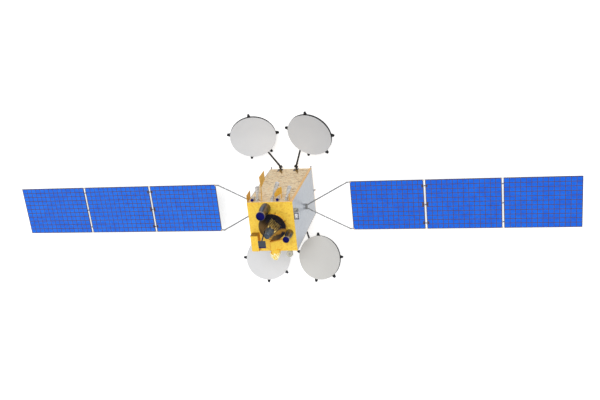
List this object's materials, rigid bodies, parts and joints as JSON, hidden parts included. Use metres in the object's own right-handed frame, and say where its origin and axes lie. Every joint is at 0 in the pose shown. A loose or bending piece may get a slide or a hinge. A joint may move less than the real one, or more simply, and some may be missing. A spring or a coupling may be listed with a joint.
{
  "type": "geostationary communications satellite",
  "caption": "Box-bodied communications satellite with folding solar wings, side reflectors on hinged booms and earth-deck antennas, standing on its launch adapter ring.",
  "frame": {"origin": "centre of the launch adapter ring's lower face", "axes": "+Z from the adapter ring to the earth deck, +X north along one solar wing, +Y east"},
  "size_m": [26.96, 8.8081, 6.87],
  "materials": {
    "gold_foil": "crinkled gold thermal foil",
    "beige_blanket": "crinkled beige thermal blanket",
    "radiator": "matt grey optical solar reflector tiles",
    "structure": "machined aluminium",
    "dark_metal": "dark grey heat-resistant metal",
    "tank": null,
    "white_paint": "white paint",
    "horn_foil": "crinkled grey foil",
    "carbon": "black carbon composite",
    "reflector_face": "matt light grey paint",
    "solar_cells": "blue solar cells under cover glass",
    "dark_mirror": "glossy dark composite"
  },
  "bodies": {
    "bus": {"earth_deck": "gold_foil", "anti_earth_deck": "beige_blanket", "north_radiator": "radiator", "south_radiator": "radiator", "east_wall": "beige_blanket", "west_wall": "beige_blanket", "tank_block": "tank", "launch_adapter_ring": "structure", "apogee_engine": "dark_metal", "thrusters": "dark_metal", "earth_sensor": "white_paint", "deck_bowl": "dark_mirror", "deck_feed_tower": "gold_foil", "deck_subreflector": "dark_metal", "large_deck_horn": "dark_metal", "small_deck_horn": "dark_metal", "deck_foil_box": "gold_foil", "west_foil_housing": "gold_foil", "east_feed_horns": "horn_foil", "west_feed_horns": "horn_foil", "east_shield_plates": "gold_foil", "west_patch_antenna": "structure", "north_wing_drive": "structure", "south_wing_drive": "structure", "east_north_bracket": "carbon", "east_south_bracket": "carbon", "west_north_bracket": "carbon", "west_south_bracket": "carbon"},
    "north_hub": {"north_wing_hub": "structure"},
    "north_yoke": {"north_yoke": "structure"},
    "north_inner_panel": {"north_inner_panel": "solar_cells"},
    "north_middle_panel": {"north_middle_panel": "solar_cells"},
    "north_outer_panel": {"north_outer_panel": "solar_cells"},
    "south_hub": {"south_wing_hub": "structure"},
    "south_yoke": {"south_yoke": "structure"},
    "south_inner_panel": {"south_inner_panel": "solar_cells"},
    "south_middle_panel": {"south_middle_panel": "solar_cells"},
    "south_outer_panel": {"south_outer_panel": "solar_cells"},
    "east_north_reflector": {"east_north_boom": "carbon", "east_north_reflector": "reflector_face"},
    "east_south_reflector": {"east_south_boom": "carbon", "east_south_reflector": "reflector_face"},
    "west_north_reflector": {"west_north_boom": "carbon", "west_north_reflector": "reflector_face"},
    "west_south_reflector": {"west_south_boom": "carbon", "west_south_reflector": "reflector_face"}
  },
  "joints": [
    {"name": "north_wing_drive", "type": "hinge", "parent": "bus", "child": "north_hub", "pos_m": [1.063, 0, 2.3], "axis": [1, 0, 0], "continuous": true},
    {"name": "north_yoke_fold", "type": "hinge", "parent": "north_hub", "child": "north_yoke", "pos_m": [1.12, 0, 2.3], "axis": [0, -1, 0], "range_deg": [0, 90]},
    {"name": "north_inner_panel_fold", "type": "hinge", "parent": "north_yoke", "child": "north_inner_panel", "pos_m": [3.2, 0, 2.275], "axis": [0, -1, 0], "range_deg": [-180, 0]},
    {"name": "north_middle_panel_fold", "type": "hinge", "parent": "north_inner_panel", "child": "north_middle_panel", "pos_m": [6.64, 0, 2.325], "axis": [0, -1, 0], "range_deg": [0, 180]},
    {"name": "north_outer_panel_fold", "type": "hinge", "parent": "north_middle_panel", "child": "north_outer_panel", "pos_m": [10.08, 0, 2.275], "axis": [0, -1, 0], "range_deg": [-180, 0]},
    {"name": "south_wing_drive", "type": "hinge", "parent": "bus", "child": "south_hub", "pos_m": [-1.063, 0, 2.3], "axis": [1, 0, 0], "continuous": true},
    {"name": "south_yoke_fold", "type": "hinge", "parent": "south_hub", "child": "south_yoke", "pos_m": [-1.12, 0, 2.3], "axis": [0, 1, 0], "range_deg": [0, 90]},
    {"name": "south_inner_panel_fold", "type": "hinge", "parent": "south_yoke", "child": "south_inner_panel", "pos_m": [-3.2, 0, 2.275], "axis": [0, 1, 0], "range_deg": [-180, 0]},
    {"name": "south_middle_panel_fold", "type": "hinge", "parent": "south_inner_panel", "child": "south_middle_panel", "pos_m": [-6.64, 0, 2.325], "axis": [0, 1, 0], "range_deg": [0, 180]},
    {"name": "south_outer_panel_fold", "type": "hinge", "parent": "south_middle_panel", "child": "south_outer_panel", "pos_m": [-10.08, 0, 2.275], "axis": [0, 1, 0], "range_deg": [-180, 0]},
    {"name": "east_north_boom_hinge", "type": "hinge", "parent": "bus", "child": "east_north_reflector", "pos_m": [0.31, 1.33, 0.31], "axis": [0.8585, -0.2903, 0.4227], "range_deg": [0, 77.94]},
    {"name": "east_south_boom_hinge", "type": "hinge", "parent": "bus", "child": "east_south_reflector", "pos_m": [-0.48, 1.33, 0.31], "axis": [0.8329, 0.3279, -0.4459], "range_deg": [0, 65.14]},
    {"name": "west_north_boom_hinge", "type": "hinge", "parent": "bus", "child": "west_north_reflector", "pos_m": [0.31, -1.33, 0.31], "axis": [-0.8826, -0.2507, -0.3976], "range_deg": [0, 62.87]},
    {"name": "west_south_boom_hinge", "type": "hinge", "parent": "bus", "child": "west_south_reflector", "pos_m": [-0.48, -1.33, 0.31], "axis": [-0.8468, 0.308, 0.4337], "range_deg": [0, 78.48]}
  ],
  "couplings": [
    {"joint": "north_inner_panel_fold", "follows": "north_yoke_fold", "ratio": -2},
    {"joint": "north_middle_panel_fold", "follows": "north_yoke_fold", "ratio": 2},
    {"joint": "north_outer_panel_fold", "follows": "north_yoke_fold", "ratio": -2},
    {"joint": "south_inner_panel_fold", "follows": "south_yoke_fold", "ratio": -2},
    {"joint": "south_middle_panel_fold", "follows": "south_yoke_fold", "ratio": 2},
    {"joint": "south_outer_panel_fold", "follows": "south_yoke_fold", "ratio": -2}
  ]
}
